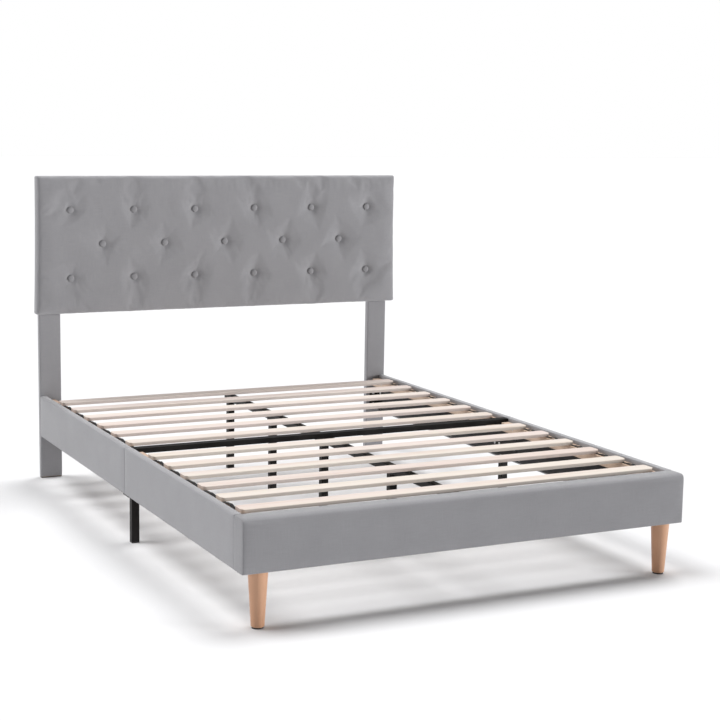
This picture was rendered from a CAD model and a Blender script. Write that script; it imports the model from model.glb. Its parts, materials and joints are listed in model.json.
"""Upholstered platform bed: the looks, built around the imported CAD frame.

+Y points to the head end, +X is the right side seen from the foot, and +Z is up.
Every length is in metres, and places come from the boxes of the CAD nodes.
"""
import json
import math
import random

import bmesh
import bpy
import numpy as np
from mathutils import Matrix, Vector


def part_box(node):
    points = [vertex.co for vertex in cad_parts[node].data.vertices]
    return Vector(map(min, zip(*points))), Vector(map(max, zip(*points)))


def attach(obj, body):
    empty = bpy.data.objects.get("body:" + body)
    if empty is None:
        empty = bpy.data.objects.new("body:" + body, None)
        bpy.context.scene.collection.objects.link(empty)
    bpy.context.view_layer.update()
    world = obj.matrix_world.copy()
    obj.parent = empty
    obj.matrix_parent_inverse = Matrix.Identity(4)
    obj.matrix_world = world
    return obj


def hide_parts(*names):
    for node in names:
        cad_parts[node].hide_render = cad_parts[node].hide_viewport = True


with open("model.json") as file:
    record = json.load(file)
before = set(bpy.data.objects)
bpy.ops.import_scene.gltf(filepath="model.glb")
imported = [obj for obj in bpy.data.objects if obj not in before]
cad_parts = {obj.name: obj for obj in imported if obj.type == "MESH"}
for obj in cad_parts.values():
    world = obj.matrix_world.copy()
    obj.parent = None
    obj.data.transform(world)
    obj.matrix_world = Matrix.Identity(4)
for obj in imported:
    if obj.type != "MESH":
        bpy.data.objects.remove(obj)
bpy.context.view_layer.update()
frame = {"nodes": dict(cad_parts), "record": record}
nodes = frame["nodes"]
scene = bpy.context.scene

BED = "bed_frame"
HEAD_SET = "slat_set_head"
FOOT_SET = "slat_set_foot"
SIDES = {"left": -1, "right": 1}
SLAT_SETS = ((HEAD_SET, "ribbons_head", range(1, 7)), (FOOT_SET, "ribbons_foot", range(7, 13)))

EDGE_STEPS = 3              # rows of quads in a round edge, before the subdivision
CLOTH_FRAMES = 8            # how many frames each cloth simulation runs
TINY = 1e-9                 # keeps a division by a length away from zero

HEAD_EDGE = 0.010           # headboard: radius from the front onto the sides
HEAD_CORNER = 0.006         # headboard: radius of the outline's four corners
HEAD_CELL = 0.0075          # headboard: size of a quad on the front, before the subdivision
BUTTON_RADIUS = 0.0128
BUTTON_HEIGHT = 0.0062
BUTTON_LIFT = 0.0022        # a button's rim lies this far in front of what button_depth gives
DIMPLE = 0.0155             # how deep the tightest buttons are pulled in
SKIN_SWELL = 0.004          # the dimples are pulled in from a plane this far before the CAD cover

LINING_GAP = 0.0006         # from a surface to the lining on it, and on to the lining's staples
LINING_THICKNESS = 0.0007
LINING_WAVE = 0.0002
RAIL_INNER = 0.003          # rails: edge radii on the inner face, outer face, bottom and top
RAIL_OUTER = 0.0045
RAIL_BOTTOM = 0.005
RAIL_TOP = 0.006
RAIL_END = 0.003            # rails: edge radius at the seam and at the headboard post
BUTT = 0.0007               # edge radius of a rail's foot end and of the footboard's back
FOOT_FRONT = 0.014          # footboard: edge radii at the front and at the top
FOOT_TOP = 0.018
FOOT_SIDE = 0.004           # footboard: edge radius at the bottom and at both ends
POST_EDGE = 0.004

RIBBON_WIDTH = 0.011
RIBBON_THICKNESS = 0.0007


# ---------------------------------------------------------------- materials

class Graph:
    """A material's node tree with one Principled shader, built node by node."""

    def __init__(self, name, **constants):
        self.material = bpy.data.materials.new(name)
        self.material.use_nodes = True
        self.tree = self.material.node_tree
        self.shader = self.tree.nodes["Principled BSDF"]
        for socket, value in constants.items():
            self.shader.inputs[socket.replace("_", " ")].default_value = value

    def node(self, kind, settings=None, **inputs):
        """Adds a node. An input is a socket to link, or a value; _0 is input 0."""
        made = self.tree.nodes.new(kind)
        for key, value in (settings or {}).items():
            setattr(made, key, value)
        for key, value in inputs.items():
            index = int(key[1:]) if key[0] == "_" else key.replace("_", " ")
            self.feed(made.inputs[index], value)
        return made

    def feed(self, socket, value):
        if isinstance(value, bpy.types.NodeSocket):
            self.tree.links.new(value, socket)
        else:
            socket.default_value = value

    def place(self, kind="Object"):
        return self.node("ShaderNodeTexCoord").outputs[kind]

    def scaled(self, vector, scale):
        return self.node("ShaderNodeMapping", Vector=vector, Scale=scale).outputs[0]

    def math(self, operation, a, b=0.0):
        return self.node("ShaderNodeMath", {"operation": operation}, _0=a, _1=b).outputs[0]

    def noise(self, vector, scale, detail=3.0, roughness=0.5):
        made = self.node("ShaderNodeTexNoise", Vector=vector, Scale=scale, Detail=detail,
                         Roughness=roughness)
        return made.outputs["Fac"]

    def ramp(self, fac, stops):
        """Colours along a 0 to 1 value: stops are (position, colour)."""
        made = self.node("ShaderNodeValToRGB", Fac=fac)
        elements = made.color_ramp.elements
        while len(elements) < len(stops):
            elements.new(0.5)
        for element, (position, colour) in zip(elements, stops):
            element.position = position
            element.color = (*colour, 1.0)
        return made.outputs["Color"]

    def mix(self, fac, a, b, blend="MIX"):
        made = self.node("ShaderNodeMix", {"data_type": "RGBA", "blend_type": blend})
        self.feed(made.inputs[0], fac)
        self.feed(made.inputs[6], a)
        self.feed(made.inputs[7], b)
        return made.outputs[2]

    def finish(self, colour=None, roughness=None, height=None, depth=0.001, strength=1.0):
        if colour is not None:
            self.feed(self.shader.inputs["Base Color"], colour)
        if roughness is not None:
            self.feed(self.shader.inputs["Roughness"], roughness)
        if height is not None:
            bump = self.node("ShaderNodeBump", Height=height, Distance=depth, Strength=strength)
            self.feed(self.shader.inputs["Normal"], bump.outputs[0])
        return self.material


def woven(name, dark, light, thread=0.0011, sheen=0.35, roughness=0.85, relief=0.00025):
    """Plain weave on the UV map, which is in metres, with slubs and uneven dye."""
    g = Graph(name, Sheen_Weight=sheen, Sheen_Roughness=0.35, Specular_IOR_Level=0.25)
    uv = g.place("UV")
    turn = 2 * math.pi / (2 * thread)
    parts = g.node("ShaderNodeSeparateXYZ", Vector=uv).outputs
    warp = g.math("SINE", g.math("MULTIPLY", parts[0], turn))
    weft = g.math("SINE", g.math("MULTIPLY", parts[1], turn))
    weave = g.math("ADD", g.math("MULTIPLY", g.math("MULTIPLY", warp, weft), 0.5), 0.5)
    slub_u = g.noise(g.scaled(uv, (1 / thread, 30, 1)), 0.7, 2.0)
    slub_v = g.noise(g.scaled(uv, (30, 1 / thread, 1)), 0.7, 2.0)
    slubs = g.math("MULTIPLY", g.math("ADD", slub_u, slub_v), 0.5)
    cloud = g.noise(g.place(), 9.0, 4.0)
    threads = g.math("ADD", g.math("MULTIPLY", weave, 0.35), g.math("MULTIPLY", slubs, 0.65))
    tone = g.math("ADD", g.math("MULTIPLY", threads, 0.75), g.math("MULTIPLY", cloud, 0.25))
    colour = g.ramp(tone, [(0.3, dark), (0.7, light)])
    return g.finish(colour, roughness, threads, relief)


def timber(name, pale, deep, tint, along=(1.0, 28.0, 28.0), roughness=0.6, relief=0.00012):
    """Planed wood whose grain runs along the axis that is scaled least; tint varies by board."""
    g = Graph(name, Specular_IOR_Level=0.35)
    place = g.place()
    rings = g.noise(g.scaled(place, along), 1.1, 6.0, 0.62)
    fibres = g.noise(g.scaled(place, tuple(a * 14 for a in along)), 1.0, 3.0, 0.6)
    boards = g.noise(g.scaled(place, tuple(0.25 if a == min(along) else 9.3 for a in along)), 1.0, 1.0)
    grain = g.math("ADD", g.math("MULTIPLY", rings, 0.7), g.math("MULTIPLY", fibres, 0.3))
    figure = g.ramp(grain, [(0.30, pale), (0.50, pale), (0.70, deep)])
    share = g.ramp(boards, [(0.35, (0.0, 0.0, 0.0)), (0.65, (1.0, 1.0, 1.0))])
    colour = g.mix(share, figure, g.mix(1.0, figure, (*tint, 1.0), "MULTIPLY"))
    worn = g.math("ADD", g.math("MULTIPLY", fibres, 0.18), roughness - 0.09)
    return g.finish(colour, worn, grain, relief)


def powder_coat(name, colour, roughness=0.45):
    """Painted steel with fine orange peel and slightly uneven gloss."""
    g = Graph(name, Specular_IOR_Level=0.15)
    place = g.place()
    peel = g.noise(place, 900.0, 2.0)
    cloud = g.noise(place, 14.0, 3.0)
    pale = tuple(min(1.0, 1.6 * c + 0.006) for c in colour)
    tint = g.ramp(cloud, [(0.35, colour), (0.7, pale)])
    rough = g.math("ADD", g.math("MULTIPLY", cloud, 0.2), roughness - 0.1)
    return g.finish(tint, rough, peel, 0.0001, 0.6)


def bright_zinc(name):
    """Zinc-plated steel with crystals and small scratches."""
    g = Graph(name, Metallic=1.0)
    place = g.place()
    cloud = g.noise(place, 160.0, 3.0)
    tint = g.ramp(cloud, [(0.3, (0.5, 0.5, 0.48)), (0.7, (0.72, 0.72, 0.74))])
    rough = g.math("ADD", g.math("MULTIPLY", cloud, 0.25), 0.25)
    return g.finish(tint, rough, g.noise(g.scaled(place, (900, 60, 60)), 1.0), 0.00005)


def moulded(name, colour):
    """Moulded plastic with a fine spark-eroded texture."""
    g = Graph(name, Specular_IOR_Level=0.4)
    place = g.place()
    grit = g.noise(place, 1400.0, 2.0)
    cloud = g.noise(place, 20.0, 2.0)
    tint = g.ramp(cloud, [(0.3, colour), (0.7, tuple(1.5 * c for c in colour))])
    return g.finish(tint, 0.55, grit, 0.00008)


def felted(name, dark, light):
    """Non-woven cloth: short random fibres pressed together, with a fine dot pattern."""
    g = Graph(name, Sheen_Weight=0.2, Specular_IOR_Level=0.2)
    uv = g.place("UV")
    fibres = g.noise(g.scaled(uv, (700, 700, 1)), 1.0, 5.0, 0.7)
    streaks = g.noise(g.scaled(uv, (90, 420, 1)), 1.0, 3.0)
    dots = g.node("ShaderNodeTexVoronoi", Vector=g.scaled(uv, (500, 500, 1)), Scale=1.0)
    tone = g.math("ADD", g.math("MULTIPLY", fibres, 0.6), g.math("MULTIPLY", streaks, 0.4))
    colour = g.ramp(tone, [(0.35, dark), (0.68, light)])
    height = g.math("ADD", fibres, g.math("MULTIPLY", dots.outputs["Distance"], 0.5))
    return g.finish(colour, 0.95, height, 0.0002)


def foamed(name):
    """Open foam: pale, matt and pitted."""
    g = Graph(name)
    cells = g.node("ShaderNodeTexVoronoi", Vector=g.place(), Scale=600.0).outputs["Distance"]
    colour = g.ramp(g.noise(g.place(), 12.0), [(0.3, (0.78, 0.75, 0.66)), (0.7, (0.88, 0.86, 0.8))])
    return g.finish(colour, 0.95, cells, 0.0006)


def floor_paint():
    g = Graph("studio_floor", Specular_IOR_Level=0.1)
    cloud = g.noise(g.place(), 0.8, 2.0)
    colour = g.ramp(cloud, [(0.3, (0.76, 0.76, 0.77)), (0.7, (0.78, 0.78, 0.79))])
    return g.finish(colour, 0.9)


# In the photo the buttons and the footboard are a little darker than the rest of the fabric.
FABRIC = woven("grey_upholstery", (0.262, 0.260, 0.272), (0.340, 0.337, 0.352))
FOOT_FABRIC = woven("grey_upholstery_foot", (0.230, 0.228, 0.239), (0.298, 0.296, 0.309))
BUTTON_FABRIC = woven("button_upholstery", (0.245, 0.243, 0.254), (0.320, 0.317, 0.331))
SLAT_WOOD = timber("slat_wood", (0.72, 0.655, 0.59), (0.64, 0.54, 0.455), (0.97, 0.92, 0.95))
LEDGE_WOOD = timber("ledge_pine", (0.60, 0.46, 0.36), (0.45, 0.32, 0.23), (0.95, 0.9, 0.88),
                    (28.0, 1.0, 28.0))
BOARD_WOOD = timber("engineered_board", (0.62, 0.47, 0.30), (0.42, 0.29, 0.17), (0.9, 0.9, 0.9),
                    (20.0, 3.0, 20.0))
LEG_BEECH = timber("leg_beech", (0.58, 0.335, 0.21), (0.47, 0.25, 0.148), (0.97, 0.9, 0.87),
                   (60.0, 60.0, 2.0), 0.34)
BLACK_STEEL = powder_coat("black_steel", (0.007, 0.006, 0.0055))
ZINC = bright_zinc("bright_zinc")
BLACK_PLASTIC = moulded("black_plastic", (0.02, 0.02, 0.02))
BLACK_CLOTH = felted("black_cloth", (0.008, 0.008, 0.009), (0.03, 0.03, 0.032))
RIBBON = woven("black_ribbon", (0.01, 0.009, 0.009), (0.03, 0.028, 0.028), 0.0008, 0.1)
FOAM = foamed("white_foam")

SLOT_LOOKS = {
    "upholstery_fabric": FABRIC,
    "padding": FOAM,
    "black_cloth": BLACK_CLOTH,
    "ribbon": RIBBON,
    "engineered_board": BOARD_WOOD,
    "pine": LEDGE_WOOD,
    "slat_wood": SLAT_WOOD,
    "beech": LEG_BEECH,
    "black_steel": BLACK_STEEL,
    "zinc_steel": ZINC,
    "black_plastic": BLACK_PLASTIC,
}


def paint_cad_nodes():
    """Gives every CAD node the look of its material slot."""
    for part in frame["record"]["subparts"]:
        mesh = nodes[part["node"]].data
        mesh.materials.clear()
        mesh.materials.append(SLOT_LOOKS[part["material_slot"]])


# ---------------------------------------------------------------- mesh helpers

def add_object(name, mesh, look, body, replaced=()):
    """Links a piece to the scene, gives it its look and lets it ride on its body."""
    piece = bpy.data.objects.new(name, mesh)
    scene.collection.objects.link(piece)
    mesh.materials.clear()
    mesh.materials.append(look)
    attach(piece, body)
    if replaced:
        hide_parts(*replaced)
    return piece


def mesh_from(name, points, faces, uvs=None, smooth=True):
    """A mesh from points and faces; uvs gives one (u, v) for every corner of every face."""
    mesh = bpy.data.meshes.new(name)
    mesh.from_pydata([tuple(p) for p in points], [], faces)
    if uvs is not None:
        layer = mesh.uv_layers.new(name="UVMap")
        layer.data.foreach_set("uv", np.asarray(uvs, np.float32).ravel())
    mesh.polygons.foreach_set("use_smooth", [smooth] * len(mesh.polygons))
    mesh.update()
    return mesh


def coordinates(mesh):
    found = np.zeros(len(mesh.vertices) * 3)
    mesh.vertices.foreach_get("co", found)
    return found.reshape(-1, 3)


def directions(mesh):
    """The outward normal at each point."""
    found = np.zeros(len(mesh.vertices) * 3)
    mesh.vertices.foreach_get("normal", found)
    return found.reshape(-1, 3)


def set_coordinates(mesh, points):
    mesh.vertices.foreach_set("co", points.ravel())
    mesh.update()


def stations(low, high, step, low_edge, high_edge):
    """Places along one axis: close together within each round edge, then about step apart."""
    flat = high - high_edge - low - low_edge
    inner = np.linspace(low + low_edge, high - high_edge, max(2, round(flat / step) + 1))
    turn = 1 - np.cos(np.linspace(0, math.pi / 2, EDGE_STEPS + 1))[:-1]
    return np.concatenate([low + low_edge * turn, inner, (high - high_edge * turn)[::-1]])


def soft_box(name, low, high, low_radii, high_radii, step):
    """A closed box of quads with round edges and corners, and UVs in metres on each side.

    Each side has its own radius: low_radii for the sides at low, high_radii at high."""
    low, high = np.array(low), np.array(high)
    low_radii, high_radii = np.array(low_radii), np.array(high_radii)
    lines = [stations(low[a], high[a], step, low_radii[a], high_radii[a]) for a in range(3)]
    made = bmesh.new()
    layer = made.loops.layers.uv.new("UVMap")
    for axis in range(3):
        a, b = (axis + 1) % 3, (axis + 2) % 3
        for side, level in ((-1, low[axis]), (1, high[axis])):
            corners = []
            for p in lines[a]:
                row = []
                for q in lines[b]:
                    place = [0.0] * 3
                    place[axis], place[a], place[b] = level, p, q
                    row.append(made.verts.new(place))
                corners.append(row)
            for i in range(len(corners) - 1):
                for j in range(len(corners[0]) - 1):
                    loop = [corners[i][j], corners[i + 1][j], corners[i + 1][j + 1], corners[i][j + 1]]
                    face = made.faces.new(loop if side > 0 else loop[::-1])
                    face.smooth = True
                    for corner in face.loops:
                        corner[layer].uv = (corner.vert.co[a], corner.vert.co[b])
    bmesh.ops.remove_doubles(made, verts=made.verts, dist=1e-6)
    mesh = bpy.data.meshes.new(name)
    made.to_mesh(mesh)
    made.free()
    points = coordinates(mesh)
    core = np.clip(points, low + low_radii, high - high_radii)
    radii = np.where(points < core, low_radii, high_radii)
    away = (points - core) / radii
    length = np.maximum(np.linalg.norm(away, axis=1, keepdims=True), TINY)
    set_coordinates(mesh, core + away / length * radii)
    return mesh


def grid_faces(columns, rows):
    """The quads of a grid whose points are numbered column by column."""
    return [(i * rows + j, (i + 1) * rows + j, (i + 1) * rows + j + 1, i * rows + j + 1)
            for i in range(columns - 1) for j in range(rows - 1)]


def grid_rim(columns, rows):
    """The points round the outside of such a grid, in order."""
    rim = [i * rows for i in range(columns)]
    rim += [(columns - 1) * rows + j for j in range(1, rows)]
    rim += [i * rows + rows - 1 for i in range(columns - 2, -1, -1)]
    return rim + list(range(rows - 2, 0, -1))


def merge(name, meshes):
    """One mesh from several, with their UVs."""
    made = bmesh.new()
    for mesh in meshes:
        made.from_mesh(mesh)
        bpy.data.meshes.remove(mesh)
    joined = bpy.data.meshes.new(name)
    made.to_mesh(joined)
    made.free()
    joined.polygons.foreach_set("use_smooth", [True] * len(joined.polygons))
    return joined


def swelling(piece, held, pressure, slack):
    """How far each point moves in a short cloth simulation, with the held points fixed."""
    start = coordinates(piece.data)
    group = piece.vertex_groups.new(name="held")
    group.add([int(i) for i in held], 1.0, "REPLACE")
    cloth = piece.modifiers.new("cloth", "CLOTH")
    rules = cloth.settings
    rules.quality = 4
    rules.mass = 0.3
    rules.tension_stiffness = rules.compression_stiffness = 12
    rules.bending_stiffness = 0.4
    rules.air_damping = 2
    rules.use_pressure = True
    rules.uniform_pressure_force = pressure
    rules.shrink_min = -slack
    rules.vertex_group_mass = "held"
    rules.effector_weights.gravity = 0
    cloth.point_cache.frame_end = CLOTH_FRAMES
    for number in range(1, CLOTH_FRAMES + 1):
        scene.frame_set(number)
    moved = piece.evaluated_get(bpy.context.evaluated_depsgraph_get())
    shift = coordinates(moved.data) - start
    piece.modifiers.remove(cloth)
    piece.vertex_groups.remove(group)
    scene.frame_set(1)
    return shift


def settle(piece, held, pressure, reach, sink=0.0003, slack=0.0):
    """Moves a skin by cloth simulation under pressure, within limits.

    No point moves further than reach, or deeper than sink into the padding behind it. On the
    rails and the footboard these limits cut most of what the simulation gives."""
    start = coordinates(piece.data)
    outward = directions(piece.data)
    shift = swelling(piece, held, pressure, slack)
    length = np.linalg.norm(shift, axis=1, keepdims=True)
    shift *= np.minimum(1.0, reach / np.maximum(length, TINY))
    inward = np.sum(shift * outward, axis=1, keepdims=True)
    shift += np.maximum(-sink - inward, 0) * outward
    set_coordinates(piece.data, start + shift)


def refine(piece):
    """Smooths a piece with one step of subdivision, applied to its mesh."""
    piece.modifiers.new("refine", "SUBSURF").levels = 1
    moved = piece.evaluated_get(bpy.context.evaluated_depsgraph_get())
    smooth = bpy.data.meshes.new_from_object(moved)
    coarse = piece.data
    piece.modifiers.clear()
    piece.data = smooth
    bpy.data.meshes.remove(coarse)
    smooth.name = piece.name


def wave_noise(points, wavelength, seed):
    """A smooth value from about -1 to 1 at each point, from a few crossed sine waves."""
    draw = random.Random(seed)
    total = np.zeros(len(points))
    for _ in range(6):
        heading = Vector([draw.gauss(0, 1) for _ in range(3)]).normalized()
        rate = 2 * math.pi / wavelength * draw.uniform(0.6, 1.5)
        total += np.sin(points @ np.array(heading) * rate + draw.uniform(0, 2 * math.pi))
    return total / 3


# ---------------------------------------------------------------- headboard

def islands(mesh):
    """The points of each separate part of a mesh."""
    parent = list(range(len(mesh.vertices)))

    def root(i):
        while parent[i] != i:
            parent[i] = parent[parent[i]]
            i = parent[i]
        return i

    for edge in mesh.edges:
        parent[root(edge.vertices[0])] = root(edge.vertices[1])
    found = {}
    for index, point in enumerate(coordinates(mesh)):
        found.setdefault(root(index), []).append(point)
    return found.values()


def button_places():
    """(x, z) of each button on the headboard: row by row from the bottom, left to right."""
    centres = {}
    for points in islands(nodes["headboard_buttons"].data):
        middle = (np.min(points, axis=0) + np.max(points, axis=0)) / 2
        centres[(round(middle[0], 2), round(middle[2], 2))] = (middle[0], middle[2])
    return sorted(centres.values(), key=lambda c: (c[1], c[0]))


def button_depth(centre_x, centres):
    """How deep a button is pulled in: the tufting is tighter towards the right."""
    widest = max(abs(x) for x, _ in centres)
    return DIMPLE * (0.79 + 0.21 * centre_x / widest)


def star(angle, draw):
    """How strongly a dimple reaches out in each direction: four arms of uneven strength."""
    arms, arm_width = 4, 0.42
    total = np.zeros(angle.shape)
    for arm in range(arms):
        middle = arm * 2 * math.pi / arms
        turn = np.angle(np.exp(1j * (angle - middle - draw.uniform(-0.3, 0.3))))
        total = np.maximum(total, draw.uniform(0.6, 1.0) * np.exp(-(turn / arm_width) ** 2))
    return total


def pull_marks(x, z, centres):
    """How far the tufting pulls the front in at each point: a star-shaped dimple per button."""
    total = np.zeros(x.shape)
    for number, (cx, cz) in enumerate(centres):
        draw = random.Random(number)
        dx, dz = x - cx, z - cz
        distance, angle = np.hypot(dx, dz), np.arctan2(dz, dx)
        depth = button_depth(cx, centres)
        width = depth * (0.85 + 0.55 * star(angle, draw))
        away = np.maximum(distance - BUTTON_RADIUS, 0) / width
        total = np.maximum(total, depth * np.exp(-away ** 1.05))
    return total


def crease(distance, turn, draw):
    """One narrow fold that runs out of a button and fades away."""
    along = np.maximum(distance * np.cos(turn), 0)
    across = distance * np.sin(turn)
    length, height = draw.uniform(0.03, 0.06), draw.uniform(0.0005, 0.0012)
    width = 0.0022 + 0.04 * along
    fade = np.clip((along - BUTTON_RADIUS) / 0.008, 0, 1) * np.exp(-(along / length) ** 2)
    return height * np.exp(-(across / width) ** 2) * fade


def button_folds(x, z, centres):
    """Fine folds that run out of each button: three anywhere, and two to the lower right."""
    folds = np.zeros(len(x))
    for number, (cx, cz) in enumerate(centres):
        draw = random.Random(100 + number)
        dx, dz = x - cx, z - cz
        distance, angle = np.hypot(dx, dz), np.arctan2(dz, dx)
        for _ in range(3):
            folds += crease(distance, angle - draw.uniform(-math.pi, math.pi), draw)
        for _ in range(2):
            folds += crease(distance, angle - draw.uniform(-1.3, 0.1), draw)
    return folds


def top_ripples(x, z):
    """Small upright ripples in a band just below the top edge, stronger to the right."""
    height, band_drop, band_width = 0.00016, 0.03, 0.025
    drop = np.max(z) - z
    ripple = height * (1 + x / np.max(x)) * np.sin(x * 210 + 2 * np.sin(x * 31))
    return ripple * np.exp(-((drop - band_drop) / band_width) ** 2)


def crease_headboard(pad, centres, front):
    """Pulls the swollen front back in under the buttons, and adds its fine folds."""
    points = coordinates(pad.data)
    facing = directions(pad.data)[:, 1] < -0.3
    x, z = points[:, 0], points[:, 2]
    pulled = pull_marks(x, z, centres) * (1 + SKIN_SWELL / DIMPLE)
    seat = front - SKIN_SWELL + pulled
    folds = button_folds(x, z, centres) + top_ripples(x, z)
    points[:, 1] = np.where(facing, np.maximum(points[:, 1], seat) + folds, points[:, 1])
    set_coordinates(pad.data, points)


def skin_stations(span):
    """Distances along the skin from the panel's middle, up to where it has bent to the side."""
    flat_end = span - HEAD_EDGE
    flat = np.linspace(-flat_end, flat_end, round((2 * span - 2 * HEAD_EDGE) / HEAD_CELL) + 1)
    bend = np.linspace(0, HEAD_EDGE * math.pi / 2, EDGE_STEPS + 1)[1:]
    return np.concatenate([(-flat_end - bend)[::-1], flat, flat_end + bend])


def bent(along, span):
    """Where such a distance ends up across the panel, and how much it still faces the front."""
    over = np.maximum(np.abs(along) - (span - HEAD_EDGE), 0) / HEAD_EDGE
    kept = np.minimum(np.abs(along), span - HEAD_EDGE) + HEAD_EDGE * np.sin(over)
    return np.sign(along) * kept, np.cos(over)


def tufted_front(front, half, middle_z, centres):
    """Grids of the points and UVs of the front, round edges included, about the middle."""
    slope_width, slope_height = 0.055, 0.0045
    s, t = np.meshgrid(skin_stations(half.x), skin_stations(half.z), indexing="ij")
    x, lift_x = bent(s, half.x)
    z, lift_z = bent(t, half.z)
    to_rim = np.minimum(half.x - np.abs(x), half.z - np.abs(z))
    fall = np.clip(to_rim / slope_width, 0, 1)
    slope = slope_height * (1 - fall * fall * (3 - 2 * fall))
    y = front + HEAD_EDGE * (1 - lift_x * lift_z) + slope
    y += pull_marks(x, z + middle_z, centres)
    y += 0.0005 * np.sin(x * 71 + 2 * np.sin(x * 13)) * np.exp(-(half.z - z) / 0.03) * lift_z
    return np.stack([x, y, z], axis=-1), np.stack([s, t], axis=-1)


def side_rings(depth):
    """(distance behind the front, inset from the outline) of each ring on the sides and back."""
    rings = [(d, 0.0) for d in np.linspace(HEAD_EDGE, depth - 0.004, 4)[1:]]
    return rings + [(depth - 0.0007, 0.0002), (depth, 0.0012), (depth, 0.004), (depth, 0.04)]


def wrap_sides(points, uvs, faces, rim, front, depth, half):
    """Adds the rings that carry the skin from the front's rim round to the back."""
    base = points[rim]
    last = rim
    for drop, inset in side_rings(depth):
        ring = [len(points) + k for k in range(len(rim))]
        added = base.copy()
        added[:, 0] = base[:, 0] * (half.x - inset) / half.x
        added[:, 1] = front + drop
        added[:, 2] = base[:, 2] * (half.z - inset) / half.z
        points = np.concatenate([points, added])
        uvs = np.concatenate([uvs, base[:, [0, 2]] + (inset, drop)])
        for k in range(len(rim)):
            n = (k + 1) % len(rim)
            faces.append((last[k], ring[k], ring[n], last[n]))
        last = ring
    return points, uvs


def round_corners(points, half):
    """Rounds the four corners of the panel's outline."""
    cx, cz = half.x - HEAD_CORNER, half.z - HEAD_CORNER
    dx = np.maximum(np.abs(points[:, 0]) - cx, 0)
    dz = np.maximum(np.abs(points[:, 2]) - cz, 0)
    reach = np.hypot(dx, dz)
    squeeze = np.where(reach > 0, np.maximum(dx, dz) / np.maximum(reach, TINY), 1.0)
    both = (dx > 0) & (dz > 0)
    points[:, 0] = np.where(both, np.sign(points[:, 0]) * (cx + dx * squeeze), points[:, 0])
    points[:, 2] = np.where(both, np.sign(points[:, 2]) * (cz + dz * squeeze), points[:, 2])


def flare_sides(points, half):
    """Lets the panel's sides stand out a little, most at the bottom."""
    band, least, extra = 0.02, 0.001, 0.008
    rise = (points[:, 2] + half.z) / (2 * half.z)
    side = np.clip((np.abs(points[:, 0]) - half.x + band) / band, 0, 1)
    points[:, 0] += np.sign(points[:, 0]) * side * (least + extra * (1 - rise) ** 2)


def headboard_skin(low, high, centres):
    """The padded panel: tufted front, round edges, sides, and a margin turned onto the back.

    Also gives the number of points on the front, which come first."""
    past_back = 0.0005
    half = Vector(((high.x - low.x) / 2, 0, (high.z - low.z) / 2))
    middle_z = (high.z + low.z) / 2
    points, uvs = tufted_front(low.y, half, middle_z, centres)
    columns, rows = points.shape[:2]
    points, uvs = points.reshape(-1, 3), uvs.reshape(-1, 2)
    front_count = len(points)
    faces = grid_faces(columns, rows)
    depth = high.y + past_back - low.y
    points, uvs = wrap_sides(points, uvs, faces, grid_rim(columns, rows), low.y, depth, half)
    round_corners(points, half)
    flare_sides(points, half)
    points[:, 0] += (high.x + low.x) / 2
    points[:, 2] += middle_z
    mesh = mesh_from("headboard_pad", points, faces, uvs[[i for face in faces for i in face]])
    return mesh, front_count


def close_back(mesh):
    """Closes the open edge on the panel's back with one flat face, under the black cloth."""
    made = bmesh.new()
    made.from_mesh(mesh)
    open_edges = [edge for edge in made.edges if edge.is_boundary]
    bmesh.ops.edgeloop_fill(made, edges=open_edges)
    bmesh.ops.recalc_face_normals(made, faces=made.faces)
    made.to_mesh(mesh)
    made.free()


def build_headboard():
    low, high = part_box("headboard_cover")
    centres = button_places()
    mesh, front_count = headboard_skin(low, high, centres)
    pad = add_object("headboard_pad", mesh, FABRIC, BED,
                     ("headboard_cover", "headboard_foam"))
    points = coordinates(mesh)
    held = np.arange(len(points)) >= front_count
    held_radius = BUTTON_RADIUS + 0.006
    for cx, cz in centres:
        held |= np.hypot(points[:, 0] - cx, points[:, 2] - cz) < held_radius
    settle(pad, np.flatnonzero(held), pressure=0.9, reach=0.003, sink=0.002, slack=0.005)
    refine(pad)
    close_back(pad.data)
    crease_headboard(pad, centres, low.y)
    build_buttons(centres, low.y)


def button_profile():
    """(radius, height) from the crown of a button, over its dome, to the tucked rim."""
    dome_steps = 8
    profile = []
    for k in range(dome_steps + 1):
        angle = k / dome_steps * math.pi / 2
        profile.append((BUTTON_RADIUS * math.sin(angle), BUTTON_HEIGHT * math.cos(angle) ** 0.9))
    return profile + [(BUTTON_RADIUS, -0.0012), (BUTTON_RADIUS * 0.93, -0.0030),
                      (BUTTON_RADIUS * 0.75, -0.0042)]


def button_mesh(name, centre_x, centre_z, seat, draw):
    """A cloth-covered dome: smooth crown, tucked rim with small gathers, and a flat back."""
    around, profile = 40, button_profile()
    middle = Vector((centre_x, seat, centre_z))
    tilt = Matrix.Rotation(draw.uniform(-0.10, 0.10), 3, "X") @ Matrix.Rotation(
        draw.uniform(-0.10, 0.10), 3, "Z")
    points, faces = [], []
    for k, (r, h) in enumerate(profile[1:], 1):
        for n in range(around):
            turn = 2 * math.pi * n / around
            gather = 1 + 0.016 * math.sin(13 * turn + centre_x * 50) * max(0.0, (k - 5) / 6)
            local = Vector((r * gather * math.cos(turn), -h, r * gather * math.sin(turn)))
            points.append(tilt @ local + middle)
    crown = len(points)
    points.append(tilt @ Vector((0, -profile[0][1], 0)) + middle)
    last = (len(profile) - 2) * around
    for ring in range(0, last, around):
        for n in range(around):
            m = (n + 1) % around
            faces.append((ring + n, ring + around + n, ring + around + m, ring + m))
    for n in range(around):
        faces.append((n, (n + 1) % around, crown))
    faces.append(tuple(last + n for n in range(around))[::-1])
    uvs = [(points[i].x, points[i].z) for face in faces for i in face]
    return mesh_from(name, points, faces, uvs)


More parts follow.
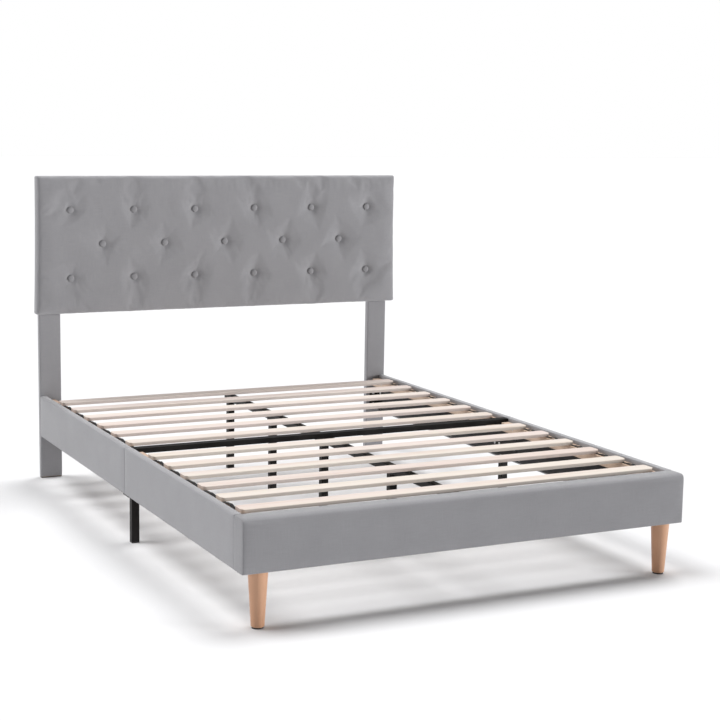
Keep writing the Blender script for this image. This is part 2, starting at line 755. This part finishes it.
def build_buttons(centres, front):
    draw = random.Random(17)
    meshes = []
    for number, (x, z) in enumerate(centres):
        seat = front + button_depth(x, centres) - BUTTON_LIFT
        meshes.append(button_mesh(f"button_{number}", x, z, seat, draw))
    add_object("headboard_button_caps", merge("headboard_button_caps", meshes), BUTTON_FABRIC,
               BED, ("headboard_buttons",))


# ---------------------------------------------------------------- posts, rails, footboard

def ruffle(mesh, amount, wavelength, seed, axis):
    """Moves a skin in and out a little along one axis, as stretched cloth does."""
    points = coordinates(mesh)
    points[:, axis] += amount * wave_noise(points, wavelength, seed)
    set_coordinates(mesh, points)


def build_posts():
    for side in SIDES:
        low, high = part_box(f"post_cover_{side}")
        mesh = soft_box(f"post_skin_{side}", low, high, (POST_EDGE,) * 3, (POST_EDGE,) * 3, 0.02)
        ruffle(mesh, 0.0003, 0.09, 5, 1)
        piece = add_object(f"post_skin_{side}", mesh, FABRIC, BED,
                           (f"post_cover_{side}",))
        refine(piece)


def build_rails():
    """Padded rail halves, with small round edges and a sharp end against the footboard.

    The round edges stay small, so that the board inside never shows at a corner."""
    for side, sign in SIDES.items():
        for end in ("head", "foot"):
            name = f"rail_cover_{side}_{end}"
            low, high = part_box(name)
            left, right = (RAIL_INNER, RAIL_OUTER) if sign > 0 else (RAIL_OUTER, RAIL_INNER)
            low_end = RAIL_END if end == "head" else BUTT
            mesh = soft_box(f"rail_pad_{side}_{end}", low, high, (left, low_end, RAIL_BOTTOM),
                            (right, RAIL_END, RAIL_TOP), 0.022)
            ruffle(mesh, 0.0004, 0.16, sign + len(end), 0)
            piece = add_object(f"rail_pad_{side}_{end}", mesh, FABRIC, BED, (name,))
            points = coordinates(mesh)
            inner = low.x if sign > 0 else high.x
            held = (np.abs(points[:, 0] - inner) < 0.006) | (points[:, 2] < low.z + 0.003)
            held |= (points[:, 1] < low.y + 0.004) | (points[:, 1] > high.y - 0.004)
            settle(piece, np.flatnonzero(held), pressure=2.5, reach=0.0020, slack=0.004)
            refine(piece)


def build_footboard():
    """Wadded footboard: a broad round front top edge, tighter at the bottom and the ends."""
    low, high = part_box("footboard_cover")
    mesh = soft_box("footboard_pad", low, high, (FOOT_SIDE, FOOT_FRONT, FOOT_SIDE),
                    (FOOT_SIDE, BUTT, FOOT_TOP), 0.018)
    ruffle(mesh, 0.0004, 0.2, 11, 1)
    piece = add_object("footboard_pad", mesh, FOOT_FABRIC, BED,
                       ("footboard_cover", "footboard_wadding"))
    points = coordinates(mesh)
    held = (points[:, 1] > high.y - 0.006) | (points[:, 2] < low.z + 0.004)
    held |= np.abs(points[:, 0]) > high.x - 0.0035
    settle(piece, np.flatnonzero(held), pressure=3.0, reach=0.003, slack=0.006)
    refine(piece)


# ---------------------------------------------------------------- linings and staples

def cloth_panel(name, low, high, axis, seed):
    """A thin closed sheet across two axes, slightly wavy along the third."""
    cell, flat_margin, wavelength = 0.02, 0.03, 0.12
    a, b = [k for k in range(3) if k != axis]
    us = np.linspace(low[a], high[a], max(3, round((high[a] - low[a]) / cell) + 1))
    vs = np.linspace(low[b], high[b], max(3, round((high[b] - low[b]) / cell) + 1))
    grid = np.array([[u, v] for u in us for v in vs])
    flat = np.zeros((len(grid), 3))
    flat[:, a], flat[:, b], flat[:, axis] = grid[:, 0], grid[:, 1], low[axis]
    rim = np.minimum.reduce([grid[:, 0] - low[a], high[a] - grid[:, 0],
                             grid[:, 1] - low[b], high[b] - grid[:, 1]])
    wave = LINING_WAVE * wave_noise(flat, wavelength, seed)
    flat[:, axis] += wave * np.clip(rim / flat_margin, 0, 1)
    top, bottom = flat.copy(), flat.copy()
    top[:, axis] += LINING_THICKNESS / 2
    bottom[:, axis] -= LINING_THICKNESS / 2
    points = np.concatenate([top, bottom])
    count, faces = len(grid), []
    for quad in grid_faces(len(us), len(vs)):
        faces += [quad, tuple(count + k for k in quad[::-1])]
    loop = grid_rim(len(us), len(vs))
    for here, then in zip(loop, loop[1:] + loop[:1]):
        faces.append((here, here + count, then + count, then))
    uvs = [(points[i][a], points[i][b]) for face in faces for i in face]
    mesh = mesh_from(name, points, faces, uvs)
    made = bmesh.new()
    made.from_mesh(mesh)
    bmesh.ops.recalc_face_normals(made, faces=made.faces)
    made.to_mesh(mesh)
    made.free()
    return mesh


def staple(place, along, out, width=0.0115, wire=0.0006):
    """The visible back of a staple: a flattened wire with its ends turned in."""
    along, out = Vector(along).normalized(), Vector(out).normalized()
    cross = along.cross(out)
    points, faces = [], []
    path = [(-width / 2, -wire), (-width / 2, wire * 0.8), (-width / 2 + wire, wire * 1.6),
            (width / 2 - wire, wire * 1.6), (width / 2, wire * 0.8), (width / 2, -wire)]
    sides = 6
    for s, h in path:
        for k in range(sides):
            turn = 2 * math.pi * k / sides
            points.append(Vector(place) + along * s + out * (h + 0.45 * wire * math.sin(turn))
                          + cross * (wire * math.cos(turn)))
    for i in range(len(path) - 1):
        for k in range(sides):
            m = (k + 1) % sides
            faces.append((i * sides + k, (i + 1) * sides + k, (i + 1) * sides + m, i * sides + m))
    faces.append(tuple(range(sides)))
    faces.append(tuple((len(path) - 1) * sides + k for k in range(sides))[::-1])
    return mesh_from("staple", points, faces)


def staple_row(start, end, gap, along, out):
    start, end = Vector(start), Vector(end)
    count = max(2, round((end - start).length / gap) + 1)
    return [staple(start.lerp(end, k / (count - 1)), along, out) for k in range(count)]


def build_linings():
    """Black cloth inside the rails and footboard and on the headboard's back, with staples."""
    staples = []
    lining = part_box("frame_linings")
    ledge_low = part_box("slat_ledges")[0].z
    for side, sign in SIDES.items():
        for end in ("head", "foot"):
            low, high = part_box(f"rail_board_{side}_{end}")
            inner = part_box(f"rail_cover_{side}_{end}")[0 if sign > 0 else 1].x
            face = inner - sign * LINING_GAP
            panel_low = (face, low.y + 0.004, lining[0].z + 0.004)
            panel_high = (face, high.y - 0.004, ledge_low - 0.001)
            mesh = cloth_panel(f"lining_{side}_{end}", panel_low, panel_high, 0, sign)
            piece = add_object(f"lining_{side}_{end}", mesh, BLACK_CLOTH, BED)
            if (side, end) == ("left", "head"):
                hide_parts("frame_linings")
            edge_z = panel_low[2] + 0.006
            staple_x = face - sign * LINING_GAP
            staples += staple_row((staple_x, panel_low[1] + 0.02, edge_z),
                                  (staple_x, panel_high[1] - 0.02, edge_z),
                                  0.07, (0, 1, 0), (-sign, 0, 0))
    build_footboard_lining(staples, lining[0].z + 0.004, ledge_low - 0.001)
    build_back_cloth(staples)
    add_object("lining_staples", merge("lining_staples", staples), ZINC, BED)


def build_footboard_lining(staples, bottom, top):
    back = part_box("footboard_cover")[1].y + LINING_GAP
    reach = -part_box("rail_cover_left_foot")[1].x - 0.006
    mesh = cloth_panel("lining_footboard", (-reach, back, bottom), (reach, back, top), 1, 7)
    piece = add_object("lining_footboard", mesh, BLACK_CLOTH, BED)
    staple_y = back + LINING_GAP
    for level in (bottom + 0.006, top - 0.006):
        staples += staple_row((-reach + 0.06, staple_y, level), (reach - 0.06, staple_y, level),
                              0.07, (1, 0, 0), (0, 1, 0))


def build_back_cloth(staples):
    low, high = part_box("headboard_cover")
    margin = 0.022
    back = high.y + LINING_GAP
    panel_low = (low.x + margin, back, low.z + margin)
    panel_high = (high.x - margin, back, high.z - margin)
    mesh = cloth_panel("headboard_back_lining", panel_low, panel_high, 1, 3)
    piece = add_object("headboard_back_lining", mesh, BLACK_CLOTH, BED,
                       ("headboard_back_cloth",))
    inset, gap, out = 0.006, 0.055, (0, 1, 0)
    x0, x1 = panel_low[0] + inset, panel_high[0] - inset
    z0, z1 = panel_low[2] + inset, panel_high[2] - inset
    y = back + LINING_GAP
    for z in (z0, z1):
        staples += staple_row((x0, y, z), (x1, y, z), gap, (1, 0, 0), out)
    for x in (x0, x1):
        staples += staple_row((x, y, z0 + 0.03), (x, y, z1 - 0.03), gap, (0, 0, 1), out)


# ---------------------------------------------------------------- ribbons of the slat sets

def ribbon_path(slats, seed):
    """(y, z) along one ribbon: flat under each slat, in slack waves on the ledge between them."""
    flat_steps, wave_steps = 4, 16
    draw = random.Random(seed)
    boxes = sorted((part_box(s) for s in slats), key=lambda b: b[0].y)
    under = boxes[0][0].z - 0.0001
    path = []
    for number, (low, high) in enumerate(boxes):
        for k in range(flat_steps + 1):
            path.append((low.y + (high.y - low.y) * k / flat_steps, under))
        if number + 1 < len(boxes):
            gap = boxes[number + 1][0].y - high.y
            rise, lean = draw.uniform(0.0025, 0.005), draw.uniform(0.8, 1.3)
            for k in range(1, wave_steps):
                part = k / wave_steps
                wave = math.sin(math.pi * part ** lean) ** 2 + 0.35 * math.sin(3 * math.pi * part) ** 2
                path.append((high.y + gap * part, under + rise * wave))
    return path


def ribbon_mesh(name, path, centre_x, seed):
    """A flat woven band along the path, which drifts a little to the side and back."""
    phase = random.Random(seed).uniform(0, 6)
    across = 5
    points, uvs_at, travelled = [], [], 0.0
    for number, (y, z) in enumerate(path):
        if number:
            travelled += math.dist(path[number - 1], (y, z))
        drift = 0.0008 * math.sin(y * 9 + phase)
        for k in range(across):
            part = k / (across - 1) - 0.5
            x = centre_x + drift + part * RIBBON_WIDTH
            for layer in (0, 1):
                points.append((x, y, z - layer * RIBBON_THICKNESS))
                uvs_at.append((part * RIBBON_WIDTH, travelled))
    faces = []
    stride = across * 2
    for i in range(len(path) - 1):
        for k in range(across - 1):
            a = i * stride + 2 * k
            b = a + stride
            faces.append((a, a + 2, b + 2, b))
            faces.append((a + 1, b + 1, b + 3, a + 3))
        left, right = i * stride, i * stride + stride - 2
        faces.append((left, left + stride, left + stride + 1, left + 1))
        faces.append((right, right + 1, right + stride + 1, right + stride))
    for end in (0, (len(path) - 1) * stride):
        for k in range(across - 1):
            a = end + 2 * k
            cap = (a, a + 1, a + 3, a + 2)
            faces.append(cap if end == 0 else cap[::-1])
    uvs = [uvs_at[i] for f in faces for i in f]
    return mesh_from(name, points, faces, uvs)


def build_ribbons():
    """Two ribbons under each slat set, each held by two staples per slat."""
    for body, node, numbers in SLAT_SETS:
        slats = [f"slat_{n:02d}" for n in numbers]
        low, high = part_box(node)
        staple_z = low.z + 0.0001
        staples = []
        for side, sign in SIDES.items():
            centre = sign * (high.x - RIBBON_WIDTH / 2)
            name = f"{node}_{side}"
            path = ribbon_path(slats, sign + 7 * len(node))
            mesh = ribbon_mesh(name, path, centre, sign + len(node))
            replaced = (node,) if side == "left" else ()
            add_object(name, mesh, RIBBON, body, replaced)
            for slat in slats:
                slat_low, slat_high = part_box(slat)
                for part in (0.25, 0.75):
                    y = slat_low.y * (1 - part) + slat_high.y * part
                    staples.append(staple((centre, y, staple_z), (1, 0, 0), (0, 0, -1), wire=0.0003))
        add_object(f"{node}_staples", merge(f"{node}_staples", staples), ZINC, body)


# ---------------------------------------------------------------- camera, light, floor

def build_camera():
    """A long lens 1.35 m above the floor, to the front left of the bed."""
    camera = bpy.data.objects.new("camera", bpy.data.cameras.new("camera"))
    scene.collection.objects.link(camera)
    camera.data.lens = 80.0
    camera.data.sensor_width = 36.0
    camera.data.clip_end = 100
    yaw, pitch, roll = (math.radians(a) for a in (-26.51, -8.73, 0.96))
    camera.matrix_world = (Matrix.Translation((-2.2427, -4.7300, 1.3496))
                           @ Matrix.Rotation(yaw, 4, "Z")
                           @ Matrix.Rotation(math.pi / 2 + pitch, 4, "X")
                           @ Matrix.Rotation(roll, 4, "Z"))
    scene.camera = camera


def sun(name, towards, strength, spread):
    """A far lamp in the direction towards, whose disc is spread degrees wide."""
    lamp = bpy.data.lights.new(name, "SUN")
    lamp.energy = strength
    lamp.angle = math.radians(spread)
    holder = bpy.data.objects.new(name, lamp)
    scene.collection.objects.link(holder)
    holder.rotation_mode = "QUATERNION"
    holder.rotation_quaternion = Vector(towards).to_track_quat("Z", "Y")


def build_world(seen=1.0, shed=0.22):
    """A surrounding that is white to the camera, but sheds much less light than it seems to."""
    world = bpy.data.worlds.new("white_room")
    world.use_nodes = True
    tree = world.node_tree
    sky = tree.nodes["Background"]
    sky.inputs["Color"].default_value = (1.0, 1.0, 1.0, 1.0)
    strength = tree.nodes.new("ShaderNodeMapRange")
    strength.inputs["To Min"].default_value = shed
    strength.inputs["To Max"].default_value = seen
    tree.links.new(tree.nodes.new("ShaderNodeLightPath").outputs["Is Camera Ray"],
                   strength.inputs["Value"])
    tree.links.new(strength.outputs["Result"], sky.inputs["Strength"])
    scene.world = world


def build_studio():
    """Pale floor, two soft lamps high above, and two low ones: front right and back left."""
    build_world()
    sun("lamp_right", (0.36, 0.22, 1.0), 1.78, 28)
    sun("lamp_left", (-0.36, 0.22, 1.0), 1.72, 28)
    sun("lamp_low_right", (0.82, -0.52, 0.08), 2.60, 18)
    sun("lamp_low_left", (-0.88, 0.45, 0.22), 0.95, 25)
    far = 40
    floor_mesh = mesh_from("floor", [(-far, -far, 0), (far, -far, 0), (far, far, 0), (-far, far, 0)],
                           [(0, 1, 2, 3)], smooth=False)
    floor_mesh.materials.append(floor_paint())
    floor = bpy.data.objects.new("floor", floor_mesh)
    scene.collection.objects.link(floor)
    scene.view_settings.view_transform = "Standard"
    scene.view_settings.look = "None"


paint_cad_nodes()
build_camera()
build_studio()
build_headboard()
build_posts()
build_rails()
build_footboard()
build_linings()
build_ribbons()
